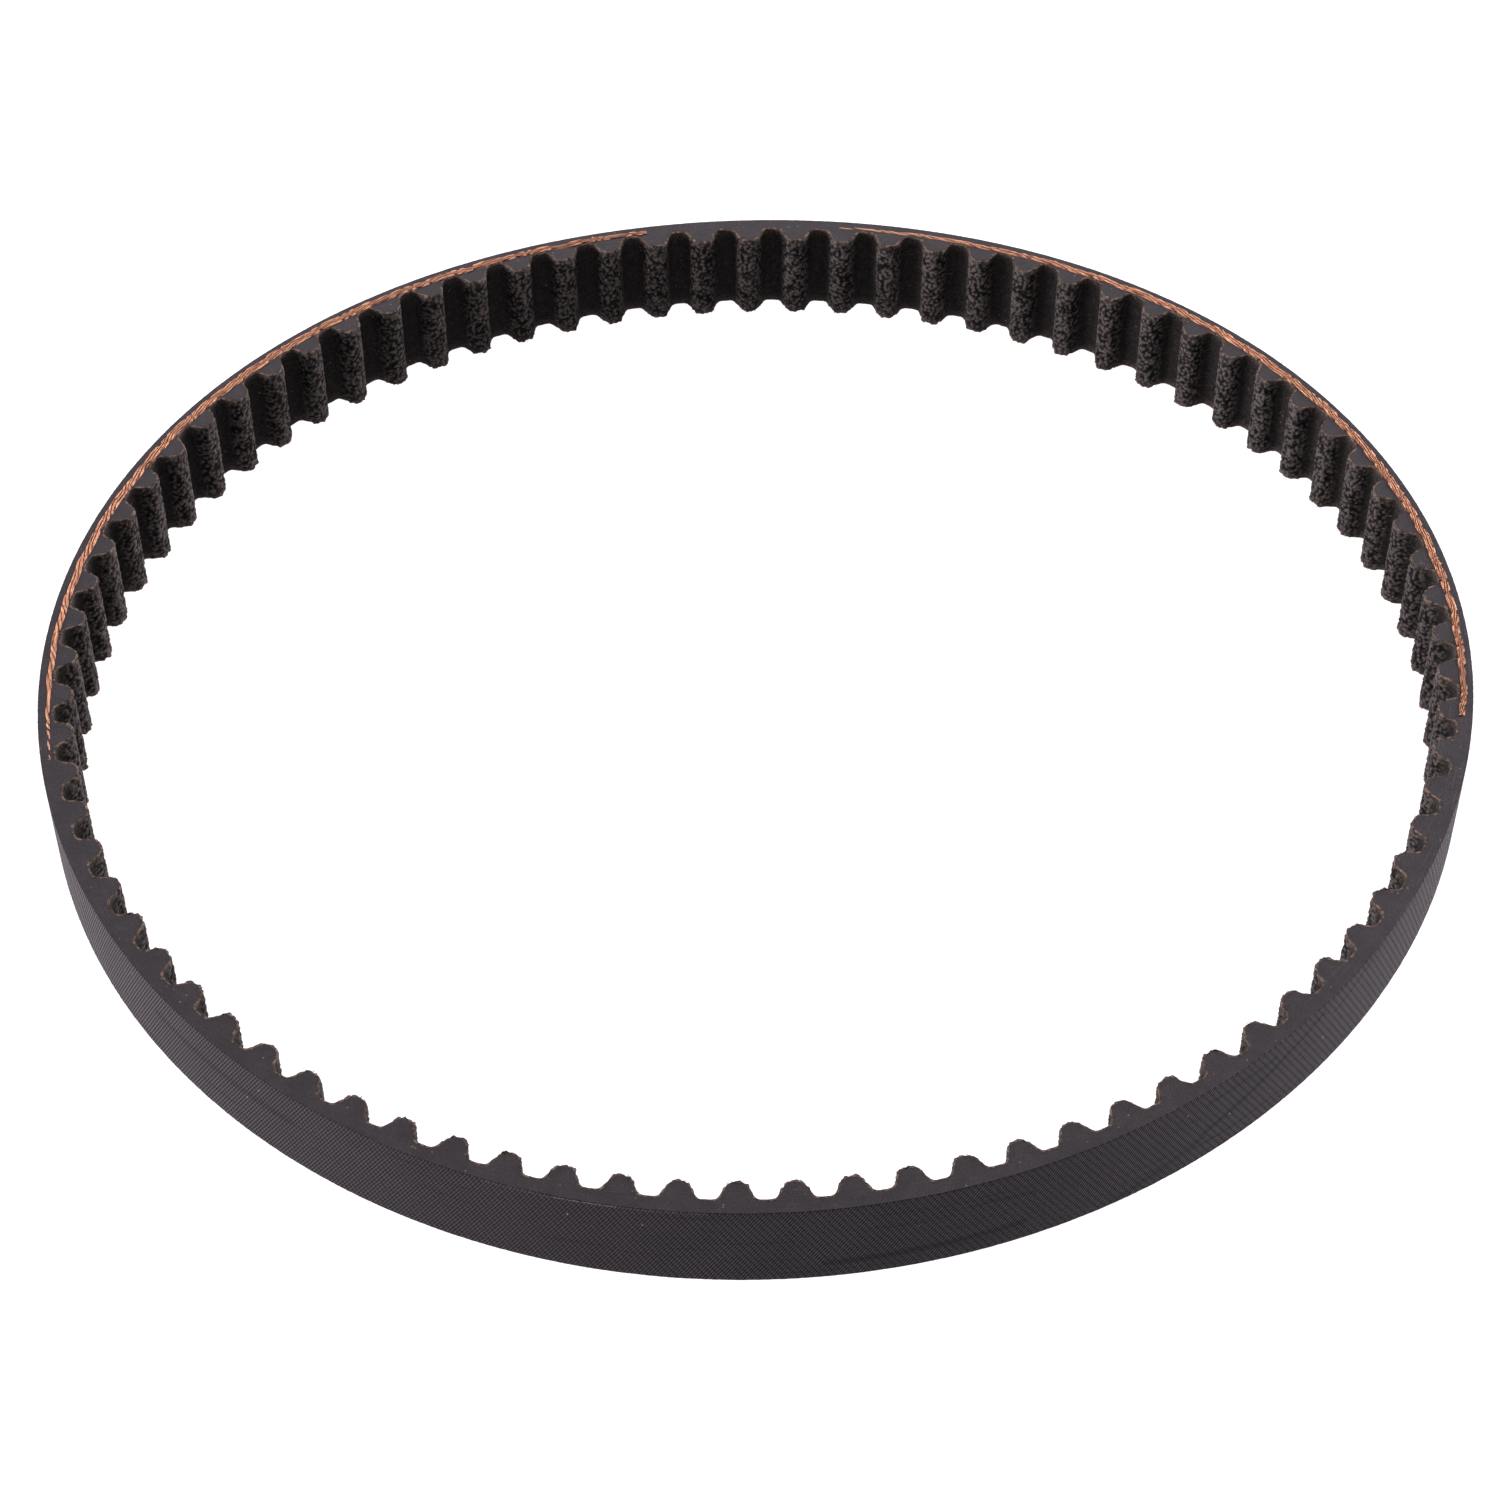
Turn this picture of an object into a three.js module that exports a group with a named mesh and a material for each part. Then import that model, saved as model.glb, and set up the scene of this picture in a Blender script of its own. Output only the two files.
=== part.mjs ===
// An endless toothed rubber belt, standing on one edge and relaxed into a slightly oval loop.
// Millimetres, +Z up. The origin is the centre of the loop on the plane that the low edge stands on.
//
// A real belt is one elastic loop that bends everywhere. Here the loop is five arcs: four quarters that
// turn on upright hinges on the cord line, with the back right quarter cut again into two arcs. The four
// hinges are the corners of a rhombus, so the loop stays closed while it is squeezed into a longer oval.
// Each arc holds the belt's own layers: backing rubber, tension cords, tooth rubber and tooth facing.

import * as THREE from "three";

// ---- Driving dimensions ----

const TOOTH_COUNT = 81;
const TOOTH_PITCH = 5; // along the cord line
const BELT_WIDTH = 10;

// Depths are measured from the smooth back towards the teeth.
const CORD_LINE_DEPTH = 0.86;
const BACKING_DEPTH = 0.54;
const TOOTH_RUBBER_TOP = 1.21;
const LAND_DEPTH = 1.45;
const FACING_THICKNESS = 0.12;
const LAYER_GAP = 0.04;

// Half of one tooth, as [distance from its centre, height above the land].
const TOOTH_ROOT = [1.65, 0];
const TOOTH_SHOULDER = [1.12, 1.6];
const TOOTH_TIP = [0.8, 1.87];

// The loop's plan, as shares of its mean radius: R = mean * (1 + OVAL cos 2a + LEAN sin 2a + EGG sin 3a).
const OVAL = 0.0357;
const LEAN = 0.0086;
const EGG = 0.0066;
const FIRST_TOOTH_SHARE = 0.9321; // where one tooth's centre is, counted like the hinges below

// Tension cords: an S-twist and a Z-twist cord, wound side by side down the belt.
const CORD_RADIUS = 0.27;
const CORD_SIDES = 6;
const WINDING_LEAD = 3; // drop for each turn round the loop
const CORD_START_SHARE = { s_cord: 1.112, z_cord: 1.394 }; // where each cord's axis crosses the high edge
const CORD_EDGE_COVER = 0.35; // least distance from a cord's axis to the belt's edges

const EDGE_INSET = 0.1; // the facing and cords stop just short of the rubber's edges
const HINGE_GAP = 0.5; // clear length of belt at each hinge
// Where the hinges and the seam are, as shares of the loop from its right-hand end, counter-clockwise.
const HINGE_SHARES = { front: -0.248, right: -0.001, seam: 0.125, back: 0.252, left: 0.502 };
const STATION_STEP = TOOTH_PITCH / 2; // longest straight facet along a smooth wall

// ---- The loop ----

const BELT_LENGTH = TOOTH_COUNT * TOOTH_PITCH;
const TABLE_SIZE = 7200;

/** Radius of the plan at angle a, for a mean radius of one, and its slope. */
function planRadius(a) {
  return 1 + OVAL * Math.cos(2 * a) + LEAN * Math.sin(2 * a) + EGG * Math.sin(3 * a);
}
function planSlope(a) {
  return -2 * OVAL * Math.sin(2 * a) + 2 * LEAN * Math.cos(2 * a) + 3 * EGG * Math.cos(3 * a);
}

/** Running length of the plan at even steps of angle, for a mean radius of one. */
function runningLengths() {
  const lengths = [0];
  const step = (2 * Math.PI) / TABLE_SIZE;
  for (let i = 0; i < TABLE_SIZE; i += 1) {
    const middle = (i + 0.5) * step;
    lengths.push(lengths[i] + Math.hypot(planRadius(middle), planSlope(middle)) * step);
  }
  return lengths;
}

const LENGTHS = runningLengths();
const MEAN_RADIUS = BELT_LENGTH / LENGTHS[TABLE_SIZE];

/** Angle of the point that lies `along` millimetres round the cord line, counter-clockwise from the right. */
function angleAt(along) {
  const turns = Math.floor(along / BELT_LENGTH);
  const target = (along - turns * BELT_LENGTH) / MEAN_RADIUS;
  let low = 0;
  let high = TABLE_SIZE;
  while (high - low > 1) {
    const middle = (low + high) >> 1;
    if (LENGTHS[middle] <= target) low = middle;
    else high = middle;
  }
  const share = (target - LENGTHS[low]) / (LENGTHS[high] - LENGTHS[low]);
  return 2 * Math.PI * (turns + (low + share) / TABLE_SIZE);
}

/** Plan position of a point at `along` on the cord line and `depth` below the back. */
function place(along, depth) {
  const a = angleAt(along);
  const radius = MEAN_RADIUS * planRadius(a);
  const slope = MEAN_RADIUS * planSlope(a);
  const onLine = new THREE.Vector2(radius * Math.cos(a), radius * Math.sin(a));
  const tangent = new THREE.Vector2(
    slope * Math.cos(a) - radius * Math.sin(a),
    slope * Math.sin(a) + radius * Math.cos(a),
  ).normalize();
  const inward = new THREE.Vector2(-tangent.y, tangent.x);
  return onLine.addScaledVector(inward, depth - CORD_LINE_DEPTH).add(new THREE.Vector2(0, EGG * MEAN_RADIUS));
}

/** Distance round the cord line of the land that is nearest to a share of the loop. */
function landNear(share) {
  const firstLand = FIRST_TOOTH_SHARE * BELT_LENGTH + TOOTH_PITCH / 2;
  return firstLand + TOOTH_PITCH * Math.round((share * BELT_LENGTH - firstLand) / TOOTH_PITCH);
}

const CUTS = Object.fromEntries(Object.entries(HINGE_SHARES).map(([name, share]) => [name, landNear(share)]));

// The arcs, counter-clockwise from the front.
const ARCS = [
  { name: "front_right", from: CUTS.front, to: CUTS.right },
  { name: "right_back", from: CUTS.right, to: CUTS.seam },
  { name: "back_right", from: CUTS.seam, to: CUTS.back },
  { name: "back_left", from: CUTS.back, to: CUTS.left },
  { name: "front_left", from: CUTS.left, to: CUTS.front + BELT_LENGTH },
].map((arc) => ({ ...arc, start: arc.from + HINGE_GAP / 2, end: arc.to - HINGE_GAP / 2 }));

// ---- Outlines ----

/** Points of a smooth wall of an arc at one depth, as [along, depth]. */
function wall(arc, depth) {
  const length = arc.end - arc.start;
  const steps = Math.ceil(length / STATION_STEP);
  return Array.from({ length: steps + 1 }, (_, i) => [arc.start + (length * i) / steps, depth]);
}

/** Points of the toothed face of an arc, as [along, depth], from its start to its end. */
function toothedFace(arc) {
  const half = [TOOTH_ROOT, TOOTH_SHOULDER, TOOTH_TIP];
  const tooth = [...half.map(([x, h]) => [-x, h]), ...half.toReversed()];
  const points = [[arc.start, LAND_DEPTH]];
  for (let centre = arc.from + TOOTH_PITCH / 2; centre < arc.to; centre += TOOTH_PITCH)
    points.push(...tooth.map(([x, h]) => [centre + x, LAND_DEPTH + h]));
  return [...points, [arc.end, LAND_DEPTH]];
}

/** The line that runs beside another at a distance, on the side of the belt's back, with mitred corners. */
function besideLine(points, distance) {
  const sides = points.slice(1).map(([x, y], i) => {
    const dx = x - points[i][0];
    const dy = y - points[i][1];
    const length = Math.hypot(dx, dy);
    return [dy / length, -dx / length];
  });
  return points.map(([x, y], i) => {
    const before = sides[Math.max(i - 1, 0)];
    const after = sides[Math.min(i, sides.length - 1)];
    const reach = distance / (1 + before[0] * after[0] + before[1] * after[1]);
    return [x + (before[0] + after[0]) * reach, y + (before[1] + after[1]) * reach];
  });
}

/** A closed solid between two lines of an arc, from one height to another. */
function slab(backLine, toothLine, low, high) {
  const outline = [...backLine, ...toothLine.toReversed()].map(([along, depth]) => place(along, depth));
  const shape = new THREE.Shape(outline);
  const solid = new THREE.ExtrudeGeometry(shape, { depth: high - low, bevelEnabled: false });
  return solid.translate(0, 0, low);
}

// ---- The four layers ----

function backing(arc) {
  return slab(wall(arc, 0), wall(arc, BACKING_DEPTH), 0, BELT_WIDTH);
}

function toothRubber(arc) {
  const face = besideLine(toothedFace(arc), FACING_THICKNESS + LAYER_GAP);
  return slab(wall(arc, TOOTH_RUBBER_TOP), face, 0, BELT_WIDTH);
}

function toothFacing(arc) {
  const face = toothedFace(arc);
  return slab(besideLine(face, FACING_THICKNESS), face, EDGE_INSET, BELT_WIDTH - EDGE_INSET);
}

/** The line of one wound cord: it follows the cord line and drops evenly by the lead for each turn. */
class WoundCord extends THREE.Curve {
  constructor(entry, from, to) {
    super();
    Object.assign(this, { entry, from, to });
  }

  heightAt(along) {
    return BELT_WIDTH - (WINDING_LEAD * (along - this.entry)) / BELT_LENGTH;
  }

  getPoint(t, target = new THREE.Vector3()) {
    const along = this.from + t * (this.to - this.from);
    const plan = place(along, CORD_LINE_DEPTH);
    return target.set(plan.x, plan.y, this.heightAt(along));
  }
}

function cordStretch(entry, from, to) {
  const corners = Array.from({ length: CORD_SIDES }, (_, i) => {
    const a = (2 * Math.PI * i) / CORD_SIDES;
    return new THREE.Vector2(CORD_RADIUS * Math.cos(a), CORD_RADIUS * Math.sin(a));
  });
  const steps = Math.max(1, Math.round((to - from) / TOOTH_PITCH));
  return new THREE.ExtrudeGeometry(new THREE.Shape(corners), {
    steps,
    extrudePath: new WoundCord(entry, from, to),
    bevelEnabled: false,
  });
}

/** Every stretch of a cord inside one arc, one for each turn that passes through it, from the top down. */
function cordStretches(entry, arc) {
  const first = entry + (CORD_EDGE_COVER / WINDING_LEAD) * BELT_LENGTH;
  const last = entry + ((BELT_WIDTH - CORD_EDGE_COVER) / WINDING_LEAD) * BELT_LENGTH;
  const stretches = [];
  for (let turn = 0; turn * BELT_LENGTH < last + BELT_LENGTH; turn += 1) {
    const from = Math.max(arc.start + turn * BELT_LENGTH, first);
    const to = Math.min(arc.end + turn * BELT_LENGTH, last);
    if (to - from > TOOTH_PITCH) stretches.push(cordStretch(entry, from, to));
  }
  return stretches;
}

// ---- Materials ----

const FINISHES = {
  backing: new THREE.MeshStandardMaterial({ color: 0x29282a, roughness: 0.62, metalness: 0 }),
  tooth_rubber: new THREE.MeshStandardMaterial({ color: 0x242226, roughness: 0.7, metalness: 0 }),
  tooth_facing: new THREE.MeshStandardMaterial({ color: 0x16140f, roughness: 0.9, metalness: 0 }),
  cord: new THREE.MeshStandardMaterial({ color: 0xb9774c, roughness: 0.75, metalness: 0 }),
};

// ---- Assembly ----

function piece(name, geometry, finish) {
  const mesh = new THREE.Mesh(geometry, FINISHES[finish]);
  mesh.name = name;
  return mesh;
}

function beltArc(arc) {
  const group = new THREE.Group();
  group.add(piece(`backing_${arc.name}`, backing(arc), "backing"));
  group.add(piece(`tooth_rubber_${arc.name}`, toothRubber(arc), "tooth_rubber"));
  group.add(piece(`tooth_facing_${arc.name}`, toothFacing(arc), "tooth_facing"));
  for (const [cord, share] of Object.entries(CORD_START_SHARE))
    cordStretches(share * BELT_LENGTH, arc).forEach((stretch, i) =>
      group.add(piece(`${cord}_${arc.name}_${i + 1}`, stretch, "cord")),
    );
  return group;
}

const belt = new THREE.Group();
for (const arc of ARCS) belt.add(beltArc(arc));

export default belt;
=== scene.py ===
"""Looks of an endless toothed rubber belt, laid over its jointed solid model.

The belt stands on one cut edge as a loose, slightly oval loop. Four sectors make up the loop, one round each
hinge of the model, and each sector holds four layers: the moulded rubber with its imprinted back and cut
edges, the pitted fabric facing over the teeth, and the S and Z tension cords. Every piece stays where it is
built; nothing bends it between the bodies of a hinge.

Lengths are in millimetres until a point is placed, which turns it into metres.
"""

from __future__ import annotations

import logging
import math
from dataclasses import dataclass
from enum import Enum
from functools import cached_property
from typing import Any

import bpy
import numpy as np
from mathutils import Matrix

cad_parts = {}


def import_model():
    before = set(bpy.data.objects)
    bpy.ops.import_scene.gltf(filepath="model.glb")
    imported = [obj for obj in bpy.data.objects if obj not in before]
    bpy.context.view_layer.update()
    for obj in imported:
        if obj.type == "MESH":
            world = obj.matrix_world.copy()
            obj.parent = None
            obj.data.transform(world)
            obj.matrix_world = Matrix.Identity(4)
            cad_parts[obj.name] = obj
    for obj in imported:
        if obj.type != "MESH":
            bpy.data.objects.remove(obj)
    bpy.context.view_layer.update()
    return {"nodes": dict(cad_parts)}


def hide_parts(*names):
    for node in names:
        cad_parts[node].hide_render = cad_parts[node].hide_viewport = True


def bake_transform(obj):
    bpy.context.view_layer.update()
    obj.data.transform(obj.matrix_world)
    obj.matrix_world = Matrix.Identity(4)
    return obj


LOG = logging.getLogger("belt")
METRE = 0.001  # one millimetre in metres
TURN = 2 * math.pi
HASH_FACTORS = (374761393, 668265263, 2246822519)  # odd numbers that spread the bits of each coordinate
HASH_STIR = 1274126177
SEED_STEP, SEED_START = 3266489, 97
HASH_RANGE = 0xFFFFFF
LATTICE_SHIFT = 1000.0  # keeps every lattice corner's number positive
Array = np.ndarray


# ---------------------------------------------------------------------------------------------------------
# The loop and its teeth
# ---------------------------------------------------------------------------------------------------------


@dataclass(frozen=True)
class Belt:
    """Sizes of the belt and the plan of its loose loop.

    `along` is the distance round the cord line, counter-clockwise from the right-hand end. `depth` runs from
    the smooth back towards the teeth, and `height` from the low edge to the high one.
    """

    teeth: int = 81
    pitch: float = 5.0
    width: float = 10.0
    cord_line: float = 0.86
    land: float = 1.45
    tooth_height: float = 1.88
    half_tooth: float = 1.45
    flank_ease: float = 0.24
    facing: float = 0.2
    oval: float = 0.0357
    lean: float = 0.0086
    egg: float = 0.0066
    first_tooth: float = 0.9321
    table_size: int = 7200

    @property
    def length(self) -> float:
        """Length of the cord line."""
        return self.teeth * self.pitch

    def _plan(self, angle: Array) -> tuple[Array, Array]:
        """Radius of the plan at an angle and its slope, for a mean radius of one.

        The radius is 1 + oval cos 2a + lean sin 2a + egg sin 3a.
        """
        twice, thrice = 2 * angle, 3 * angle
        radius = 1 + self.oval * np.cos(twice) + self.lean * np.sin(twice) + self.egg * np.sin(thrice)
        slope = 2 * (self.lean * np.cos(twice) - self.oval * np.sin(twice)) + 3 * self.egg * np.cos(thrice)
        return radius, slope

    @cached_property
    def _table(self) -> tuple[Array, Array, float]:
        """Even angles, the length run at each, and the mean radius that gives the cord line its length."""
        angle = np.linspace(0, TURN, self.table_size + 1)
        middle = (angle[1:] + angle[:-1]) / 2
        radius, slope = self._plan(middle)
        run = np.concatenate([[0], np.cumsum(np.hypot(radius, slope) * angle[1])])
        return angle, run / run[-1] * self.length, self.length / run[-1]

    def place(self, along: Array, depth: Array, height: Array) -> Array:
        """Points in metres for belt coordinates in millimetres.

        A point is the cord line's point at `along`, moved along the inward normal by depth less the cord
        line's own depth. The whole loop is shifted so that its box is centred.

        Args:
            along: Distances round the cord line.
            depth: Depths below the back.
            height: Heights above the low edge.

        Returns:
            An array of the common shape with a last axis of three.
        """
        along, depth, height = np.broadcast_arrays(along, depth, height)
        angles, run, mean = self._table
        angle = np.interp(np.mod(along, self.length), run, angles)
        radius, slope = (mean * part for part in self._plan(angle))
        tangent_x = slope * np.cos(angle) - radius * np.sin(angle)
        tangent_y = slope * np.sin(angle) + radius * np.cos(angle)
        stretch = np.hypot(tangent_x, tangent_y)
        inward = depth - self.cord_line
        x = radius * np.cos(angle) - inward * tangent_y / stretch
        y = radius * np.sin(angle) + inward * tangent_x / stretch + self.egg * mean
        return np.stack([x, y, height], axis=-1) * METRE

    def from_tooth(self, along: Array) -> Array:
        """Signed distance from the centre of the nearest tooth."""
        offset = np.asarray(along) - self.first_tooth * self.length
        return np.mod(offset + self.pitch / 2, self.pitch) - self.pitch / 2

    def tooth_rise(self, along: Array) -> Array:
        """Height of the teeth above the land.

        A tooth is H / (1 + exp((|x| - half) / ease)) squared over the distance x from its centre, which gives
        tight roots, straight flanks and a softly rounded tip.
        """
        x = np.abs(self.from_tooth(along))
        return self.tooth_height / (1 + np.exp((x - self.half_tooth) / self.flank_ease)) ** 2

    def flank_slope(self, along: Array) -> Array:
        """Slope of the toothed face: the derivative of tooth_rise."""
        x = self.from_tooth(along)
        share = 1 / (1 + np.exp((np.abs(x) - self.half_tooth) / self.flank_ease))
        return -2 * np.sign(x) * self.tooth_height * share**2 * (1 - share) / self.flank_ease


BELT = Belt()


@dataclass(frozen=True)
class Sector:
    """The stretch of the loop round one hinge.

    Attributes:
        name: A word for the place of the sector.
        start: Where it begins, as a distance round the cord line.
        end: Where it ends.
        bodies: The bodies at its start and its end. Not used.
        arcs: The model's arcs whose solids it stands for.
    """

    name: str
    start: float
    end: float
    bodies: tuple[str, str]
    arcs: tuple[str, ...]

    def blend(self, piece: bpy.types.Object) -> None:
        """Bakes the piece's transform into its mesh. The points 3 mm in from both ends are placed but not
        used, and nothing bends the piece.
        """
        still = 3.0
        ends = np.array([self.start + still, self.end - still])
        first, last = BELT.place(ends, BELT.cord_line, BELT.width / 2)
        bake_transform(piece)


SECTORS = (
    Sector("front", -150.0, -50.0, ("front_left", "front_right"), ("front_left",)),
    Sector("right", -50.0, 50.0, ("front_right", "right_back"), ("front_right", "right_back")),
    Sector("back", 50.0, 150.0, ("back_right", "back_left"), ("back_right",)),
    Sector("left", 150.0, 255.0, ("back_left", "front_left"), ("back_left",)),
)


# ---------------------------------------------------------------------------------------------------------
# Noise and meshes
# ---------------------------------------------------------------------------------------------------------


def corner_value(corner: Array, seed: int) -> Array:
    """A repeatable random number from 0 to 1 for each whole-number corner, by integer hashing."""
    x, y, z = (corner[..., axis].astype(np.uint32) * np.uint32(HASH_FACTORS[axis]) for axis in range(3))
    mixed = x + y + z + np.uint32(seed * SEED_STEP + SEED_START)
    mixed = (mixed ^ (mixed >> np.uint32(13))) * np.uint32(HASH_STIR)
    mixed = mixed ^ (mixed >> np.uint32(16))
    return (mixed & np.uint32(HASH_RANGE)).astype(np.float64) / HASH_RANGE


def smooth_noise(points: Array, cell: float | tuple[float, float, float], seed: int) -> Array:
    """Smooth noise from 0 to 1: random values on a lattice, eased between the eight corners of each cell.

    Args:
        points: Points in millimetres.
        cell: Size of a lattice cell, one number or one for each axis.
        seed: Picks the pattern.

    Returns:
        One number for each point.
    """
    scaled = points / np.asarray(cell) + LATTICE_SHIFT
    base = np.floor(scaled)
    share = scaled - base
    ease = share * share * (3 - 2 * share)
    base = base.astype(np.int64)
    total = np.zeros(points.shape[:-1])
    for bits in range(8):
        step = np.array([bits & 1, bits >> 1 & 1, bits >> 2 & 1])
        weight = np.prod(np.where(step, ease, 1 - ease), axis=-1)
        total += weight * corner_value(base + step, seed)
    return total


def pebbles(points: Array, cell: float, seed: int) -> Array:
    """Rounded knobs from 0 in the creases to 1 on their tops.

    Each lattice cell holds one point at a random place. The value falls from 1 at such a point with the
    distance to the nearest one.

    Args:
        points: Points in millimetres.
        cell: Size of a lattice cell.
        seed: Picks the pattern.

    Returns:
        One number for each point.
    """
    scaled = points / cell + LATTICE_SHIFT
    base = np.floor(scaled).astype(np.int64)
    nearest = np.full(points.shape[:-1], np.inf)
    for neighbour in np.ndindex(3, 3, 3):
        corner = base + np.array(neighbour) - 1
        jitter = np.stack([corner_value(corner, seed + axis) for axis in range(3)], axis=-1)
        nearest = np.minimum(nearest, np.linalg.norm(corner + jitter - scaled, axis=-1))
    return 1 - eased(0.1, 0.85, nearest)


def eased(low: float, high: float, value: Array) -> Array:
    """Smooth step of a value from 0 at low to 1 at high."""
    share = np.clip((value - low) / (high - low), 0, 1)
    return share * share * (3 - 2 * share)


@dataclass
class Shell:
    """A closed surface: a ring of points carried along a path, with a flat end at each side.

    Attributes:
        rings: Points in metres, stations by ring points by three.
        uv: Pattern coordinates of each ring point, with one more column that closes the ring.
        relief: How high each point stands in the surface's pattern, from 0 to 1.
        bands: The finish of each ring segment, as an index.
    """

    rings: Array
    uv: Array
    relief: Array
    bands: Array

    def quads(self) -> tuple[Array, Array]:
        """Corner indices of the side faces, and the same corners in the wider pattern grid."""
        stations, around = self.rings.shape[:2]
        row, column = np.meshgrid(np.arange(stations - 1), np.arange(around), indexing="ij")
        following = (column + 1) % around
        corners = [(row, column), (row + 1, column), (row + 1, following), (row, following)]
        in_rings = np.stack([r * around + c for r, c in corners], axis=-1).reshape(-1, 4)
        wide = around + 1
        pattern_corners = [(row, column), (row + 1, column), (row + 1, column + 1), (row, column + 1)]
        in_uv = np.stack([r * wide + c for r, c in pattern_corners], axis=-1).reshape(-1, 4)
        return in_rings, in_uv


def solid_object(
    name: str, shells: list[Shell], finishes: list[bpy.types.Material], crease: float = 62.0
) -> bpy.types.Object:
    """One object made of closed shells, with its pattern coordinates, relief and finishes.

    Args:
        name: The object's name.
        shells: The shells, whose ring bands index the finishes.
        finishes: The materials, in order.
        crease: Edges bent by more than this many degrees stay sharp.

    Returns:
        The object, linked to the scene, at the origin.
    """
    points, corners, pattern, starts, bands, relief = [], [], [], [], [], []
    offset = loop = 0
    for shell in shells:
        stations, around = shell.rings.shape[:2]
        quads, in_uv = shell.quads()
        uv = shell.uv.reshape(-1, 2)
        ends = [np.arange(around), (stations - 1) * around + np.arange(around)[::-1]]
        end_uv = [shell.uv[0, :around], shell.uv[-1, :around][::-1]]
        points.append(shell.rings.reshape(-1, 3))
        relief.append(shell.relief.reshape(-1))
        corners += [quads.reshape(-1) + offset, *(end + offset for end in ends)]
        pattern += [uv[in_uv.reshape(-1)], *end_uv]
        starts += [loop + 4 * np.arange(len(quads)), [loop + 4 * len(quads), loop + 4 * len(quads) + around]]
        bands += [np.tile(shell.bands, stations - 1), [shell.bands[0]] * 2]
        offset += stations * around
        loop += 4 * len(quads) + 2 * around
    mesh = bpy.data.meshes.new(name)
    flat_points, flat_corners = np.concatenate(points), np.concatenate(corners)
    flat_starts, flat_bands = np.concatenate(starts), np.concatenate(bands)
    mesh.vertices.add(len(flat_points))
    mesh.loops.add(len(flat_corners))
    mesh.polygons.add(len(flat_starts))
    mesh.vertices.foreach_set("co", flat_points.astype(np.float32).ravel())
    mesh.loops.foreach_set("vertex_index", flat_corners.astype(np.int32))
    mesh.polygons.foreach_set("loop_start", flat_starts.astype(np.int32))
    mesh.polygons.foreach_set("material_index", flat_bands.astype(np.int32))
    mesh.update(calc_edges=True)
    layer = mesh.uv_layers.new(name="pattern")
    layer.data.foreach_set("uv", np.concatenate(pattern).astype(np.float32).ravel())
    attribute = mesh.attributes.new("relief", "FLOAT", "POINT")
    attribute.data.foreach_set("value", np.concatenate(relief).astype(np.float32))
    for finish in finishes:
        mesh.materials.append(finish)
    mesh.polygons.foreach_set("use_smooth", np.ones(len(flat_starts), bool))
    mesh.set_sharp_from_angle(angle=math.radians(crease))
    made = bpy.data.objects.new(name, mesh)
    bpy.context.scene.collection.objects.link(made)
    return made


# ---------------------------------------------------------------------------------------------------------
# Shader wiring
# ---------------------------------------------------------------------------------------------------------


class Wire:
    """A shader value that takes part in Python arithmetic, adding Math nodes as it goes."""

    def __init__(self, graph: Graph, socket: bpy.types.NodeSocket | None) -> None:
        """Holds the graph and the output socket, which a closing node lacks."""
        self.graph = graph
        self.socket = socket

    def math(self, operation: str, *others: Any) -> Wire:
        """A Math node of this value and the others."""
        return self.graph.node("Math", {"operation": operation}, dict(enumerate([self, *others])))

    def __add__(self, other: Any) -> Wire:
        """Sum."""
        return self.math("ADD", other)

    def __mul__(self, other: Any) -> Wire:
        """Product."""
        return self.math("MULTIPLY", other)

    def __sub__(self, other: Any) -> Wire:
        """Difference."""
        return self.math("SUBTRACT", other)

    def __rsub__(self, other: Any) -> Wire:
        """Difference from a number."""
        return (self * -1.0).math("ADD", other)

    __radd__ = __add__
    __rmul__ = __mul__


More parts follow.
